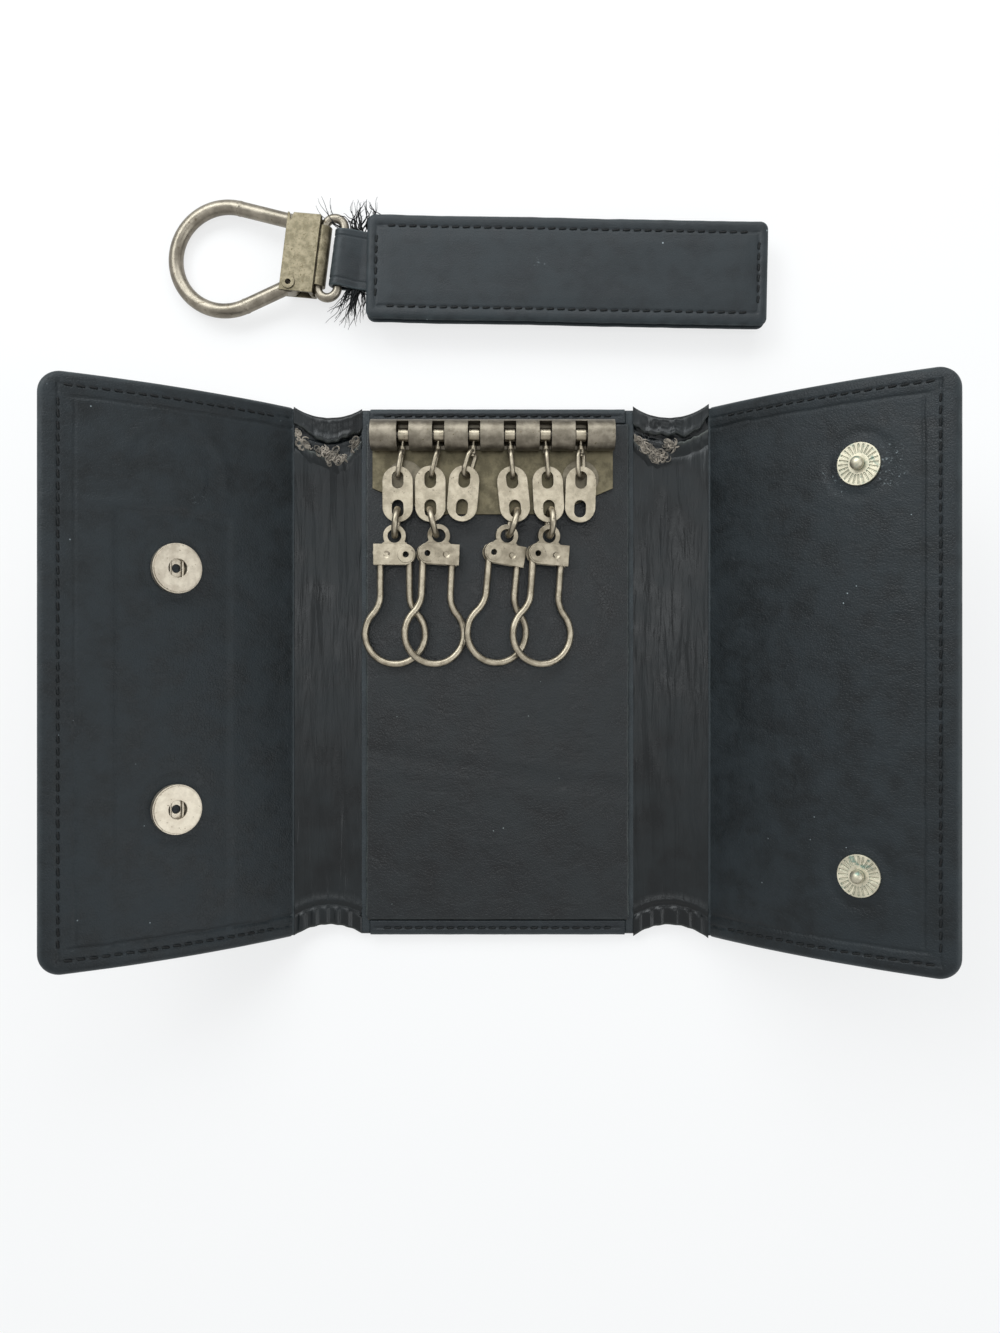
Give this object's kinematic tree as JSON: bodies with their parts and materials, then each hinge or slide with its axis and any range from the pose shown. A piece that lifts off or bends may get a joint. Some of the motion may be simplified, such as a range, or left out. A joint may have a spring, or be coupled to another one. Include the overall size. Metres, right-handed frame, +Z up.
{
  "type": "folding key case",
  "caption": "Open folding leather key case with gusseted flaps, snaps and hinged key chains on a bar, beside its detachable strap fob.",
  "frame": {"origin": "centre of the back panel's underside, which lies on the table", "axes": "+X to the right across the folds, +Y along the folds toward the key bar, +Z up out of the open case"},
  "size_m": [0.1602, 0.1472, 0.034],
  "materials": {
    "black_leather": "grained black leather, turned and stitched edges",
    "inner_leather": "smooth black lining leather",
    "gusset_leather": "thin shiny black leather, gathered",
    "fibre_board": "pressed fibre stiffening board",
    "golden_sheet": "worn golden plating on brass sheet",
    "antique_nickel": "darkened nickel plating",
    "worn_nickel": "worn nickel plating on steel wire and sheet"
  },
  "bodies": {
    "back": {"shell_center": "black_leather", "center_lining": "inner_leather", "center_board": "fibre_board", "key_plate": "golden_sheet", "hinge_rod": "antique_nickel", "rod_end_plugs": "antique_nickel", "plate_rivets": "golden_sheet"},
    "left_gusset": {"shell_left_gusset": "gusset_leather", "left_gusset_lining": "gusset_leather"},
    "right_gusset": {"shell_right_gusset": "gusset_leather", "right_gusset_lining": "gusset_leather"},
    "left_flap": {"shell_left_flap": "black_leather", "left_pocket_panel": "inner_leather", "left_flap_board": "fibre_board", "inner_sockets": "worn_nickel", "outer_sockets": "worn_nickel", "socket_posts": "antique_nickel"},
    "right_flap": {"shell_right_flap": "black_leather", "right_pocket_panel": "inner_leather", "right_flap_board": "fibre_board", "closing_studs": "worn_nickel", "closing_stud_posts": "antique_nickel"},
    "fob_strap": {"strap_front": "black_leather", "strap_core": "black_leather", "strap_back": "black_leather", "strap_studs": "antique_nickel"},
    "fob_hook": {"fob_frame": "worn_nickel", "fob_hook_plate": "worn_nickel"},
    "fob_gate": {"fob_loop": "worn_nickel"},
    "barrel_1": {"barrel_1": "antique_nickel"},
    "ring_1": {"swivel_ring_1": "worn_nickel"},
    "link_1": {"flat_link_1": "worn_nickel"},
    "jump_1": {"jump_ring_1": "worn_nickel"},
    "hook_1": {"hook_body_1": "worn_nickel"},
    "gate_1": {"key_loop_1": "worn_nickel"},
    "barrel_2": {"barrel_2": "antique_nickel"},
    "ring_2": {"swivel_ring_2": "worn_nickel"},
    "link_2": {"flat_link_2": "worn_nickel"},
    "jump_2": {"jump_ring_2": "worn_nickel"},
    "hook_2": {"hook_body_2": "worn_nickel"},
    "gate_2": {"key_loop_2": "worn_nickel"},
    "barrel_3": {"barrel_3": "antique_nickel"},
    "ring_3": {"swivel_ring_3": "worn_nickel"},
    "link_3": {"flat_link_3": "worn_nickel"},
    "barrel_4": {"barrel_4": "antique_nickel"},
    "ring_4": {"swivel_ring_4": "worn_nickel"},
    "link_4": {"flat_link_4": "worn_nickel"},
    "jump_4": {"jump_ring_4": "worn_nickel"},
    "hook_4": {"hook_body_4": "worn_nickel"},
    "gate_4": {"key_loop_4": "worn_nickel"},
    "barrel_5": {"barrel_5": "antique_nickel"},
    "ring_5": {"swivel_ring_5": "worn_nickel"},
    "link_5": {"flat_link_5": "worn_nickel"},
    "jump_5": {"jump_ring_5": "worn_nickel"},
    "hook_5": {"hook_body_5": "worn_nickel"},
    "gate_5": {"key_loop_5": "worn_nickel"},
    "barrel_6": {"barrel_6": "antique_nickel"},
    "ring_6": {"swivel_ring_6": "worn_nickel"},
    "link_6": {"flat_link_6": "worn_nickel"}
  },
  "joints": [
    {"name": "left_gusset_fold", "type": "hinge", "parent": "back", "child": "left_gusset", "pos_m": [-0.0271, 0, 0.0014], "axis": [0, 1, 0], "range_deg": [-5, 50]},
    {"name": "left_flap_fold", "type": "hinge", "parent": "left_gusset", "child": "left_flap", "pos_m": [-0.04067, 0, 0.00331], "axis": [0, 1, 0], "range_deg": [-31, 94]},
    {"name": "right_gusset_fold", "type": "hinge", "parent": "back", "child": "right_gusset", "pos_m": [0.0271, 0, 0.0014], "axis": [0, -1, 0], "range_deg": [-5, 82]},
    {"name": "right_flap_fold", "type": "hinge", "parent": "right_gusset", "child": "right_flap", "pos_m": [0.04215, 0, 0.00352], "axis": [0, -1, 0], "range_deg": [-34.6, 55.1]},
    {"name": "key_1_swing", "type": "hinge", "parent": "back", "child": "barrel_1", "pos_m": [-0.01855, 0.0468, 0.00515], "axis": [1, 0, 0], "range_deg": [-100, 0]},
    {"name": "ring_1_swivel", "type": "hinge", "parent": "barrel_1", "child": "ring_1", "pos_m": [-0.01889, 0.04382, 0.00503], "axis": [-0.1132, -0.9927, -0.0416], "range_deg": [-2, 2]},
    {"name": "link_1_pitch", "type": "hinge", "parent": "ring_1", "child": "link_1", "pos_m": [-0.0197, 0.04017, 0.00487], "axis": [1, 0, 0], "range_deg": [-48, 0]},
    {"name": "jump_1_sway", "type": "hinge", "parent": "link_1", "child": "jump_1", "pos_m": [-0.0197, 0.03013, 0.00457], "axis": [0, 0, 1], "range_deg": [-2, 2]},
    {"name": "hook_1_sway", "type": "hinge", "parent": "jump_1", "child": "hook_1", "pos_m": [-0.02036, 0.02872, 0.00466], "axis": [0, 0, 1], "range_deg": [-4, 3]},
    {"name": "loop_1_open", "type": "hinge", "parent": "hook_1", "child": "gate_1", "pos_m": [-0.01806, 0.02323, 0.00441], "axis": [0, 0.0454, -0.999], "range_deg": [-12, 0]},
    {"name": "key_2_swing", "type": "hinge", "parent": "back", "child": "barrel_2", "pos_m": [-0.01155, 0.0468, 0.00515], "axis": [1, 0, 0], "range_deg": [-100, 0]},
    {"name": "ring_2_swivel", "type": "hinge", "parent": "barrel_2", "child": "ring_2", "pos_m": [-0.01189, 0.04382, 0.00503], "axis": [-0.1132, -0.9927, -0.0416], "range_deg": [-2, 2]},
    {"name": "link_2_pitch", "type": "hinge", "parent": "ring_2", "child": "link_2", "pos_m": [-0.01325, 0.04023, 0.00487], "axis": [1, 0, 0], "range_deg": [-48, 0]},
    {"name": "jump_2_sway", "type": "hinge", "parent": "link_2", "child": "jump_2", "pos_m": [-0.01325, 0.03018, 0.00458], "axis": [0, 0, 1], "range_deg": [-2, 2]},
    {"name": "hook_2_sway", "type": "hinge", "parent": "jump_2", "child": "hook_2", "pos_m": [-0.0116, 0.02878, 0.00458], "axis": [0, 0, 1], "range_deg": [-3.7, 3.5]},
    {"name": "loop_2_open", "type": "hinge", "parent": "hook_2", "child": "gate_2", "pos_m": [-0.01406, 0.02338, 0.00513], "axis": [0.2417, -0.0101, 0.9703], "range_deg": [-27, 0]},
    {"name": "key_3_swing", "type": "hinge", "parent": "back", "child": "barrel_3", "pos_m": [-0.00455, 0.0468, 0.00515], "axis": [1, 0, 0], "range_deg": [-100, 0]},
    {"name": "ring_3_swivel", "type": "hinge", "parent": "barrel_3", "child": "ring_3", "pos_m": [-0.00489, 0.04382, 0.00503], "axis": [-0.1132, -0.9927, -0.0416], "range_deg": [-20, 20]},
    {"name": "link_3_pitch", "type": "hinge", "parent": "ring_3", "child": "link_3", "pos_m": [-0.00634, 0.04028, 0.00488], "axis": [0.9962, -0.0872, 0], "range_deg": [-48, 0]},
    {"name": "key_4_swing", "type": "hinge", "parent": "back", "child": "barrel_4", "pos_m": [0.00245, 0.0468, 0.00515], "axis": [1, 0, 0], "range_deg": [-100, 0]},
    {"name": "ring_4_swivel", "type": "hinge", "parent": "barrel_4", "child": "ring_4", "pos_m": [0.00261, 0.04381, 0.00502], "axis": [0.0523, -0.9978, -0.0418], "range_deg": [-2, 2]},
    {"name": "link_4_pitch", "type": "hinge", "parent": "ring_4", "child": "link_4", "pos_m": [0.00267, 0.04012, 0.00487], "axis": [0.9945, 0.1045, 0], "range_deg": [-48, 0]},
    {"name": "jump_4_sway", "type": "hinge", "parent": "link_4", "child": "jump_4", "pos_m": [0.00372, 0.03013, 0.00457], "axis": [0, 0, 1], "range_deg": [-1.5, 0.5]},
    {"name": "hook_4_sway", "type": "hinge", "parent": "jump_4", "child": "hook_4", "pos_m": [0.0021, 0.02871, 0.00457], "axis": [0, 0, 1], "range_deg": [-3, 0.5]},
    {"name": "loop_4_open", "type": "hinge", "parent": "hook_4", "child": "gate_4", "pos_m": [-0.00096, 0.02363, 0.00513], "axis": [0.2389, -0.0378, 0.9703], "range_deg": [-25, 0]},
    {"name": "key_5_swing", "type": "hinge", "parent": "back", "child": "barrel_5", "pos_m": [0.00945, 0.0468, 0.00515], "axis": [1, 0, 0], "range_deg": [-100, 0]},
    {"name": "ring_5_swivel", "type": "hinge", "parent": "barrel_5", "child": "ring_5", "pos_m": [0.00961, 0.04381, 0.00502], "axis": [0.0523, -0.9978, -0.0418], "range_deg": [-2, 2]},
    {"name": "link_5_pitch", "type": "hinge", "parent": "ring_5", "child": "link_5", "pos_m": [0.00977, 0.04012, 0.00487], "axis": [0.9986, 0.0523, 0], "range_deg": [-48, 0]},
    {"name": "jump_5_sway", "type": "hinge", "parent": "link_5", "child": "jump_5", "pos_m": [0.0103, 0.03009, 0.00457], "axis": [0, 0, 1], "range_deg": [-0.5, 3]},
    {"name": "hook_5_sway", "type": "hinge", "parent": "jump_5", "child": "hook_5", "pos_m": [0.01027, 0.02869, 0.00457], "axis": [0, 0, 1], "range_deg": [-0.5, 5]},
    {"name": "loop_5_open", "type": "hinge", "parent": "hook_5", "child": "gate_5", "pos_m": [0.00767, 0.02335, 0.00517], "axis": [0.2582, -0.0181, 0.9659], "range_deg": [-25, 0]},
    {"name": "key_6_swing", "type": "hinge", "parent": "back", "child": "barrel_6", "pos_m": [0.01645, 0.0468, 0.00515], "axis": [1, 0, 0], "range_deg": [-100, 0]},
    {"name": "ring_6_swivel", "type": "hinge", "parent": "barrel_6", "child": "ring_6", "pos_m": [0.01648, 0.0438, 0.00502], "axis": [0.0087, -0.9991, -0.0419], "range_deg": [-20, 20]},
    {"name": "link_6_pitch", "type": "hinge", "parent": "ring_6", "child": "link_6", "pos_m": [0.01659, 0.04011, 0.00487], "axis": [0.9994, -0.0349, 0], "range_deg": [-48, 0]},
    {"name": "fob_draw_off", "type": "slide", "parent": "back", "child": "fob_strap", "axis": [0, 1, 0], "range_m": [0, 0.03]},
    {"name": "fob_hook_lift", "type": "hinge", "parent": "fob_strap", "child": "fob_hook", "pos_m": [-0.031, 0.0818, 0.0044], "axis": [0.1219, 0.9925, 0], "range_deg": [0, 100]},
    {"name": "fob_loop_open", "type": "hinge", "parent": "fob_hook", "child": "fob_gate", "pos_m": [-0.04109, 0.07689, 0.00358], "axis": [-0.0865, 0.0106, 0.9962], "range_deg": [0, 25]}
  ]
}
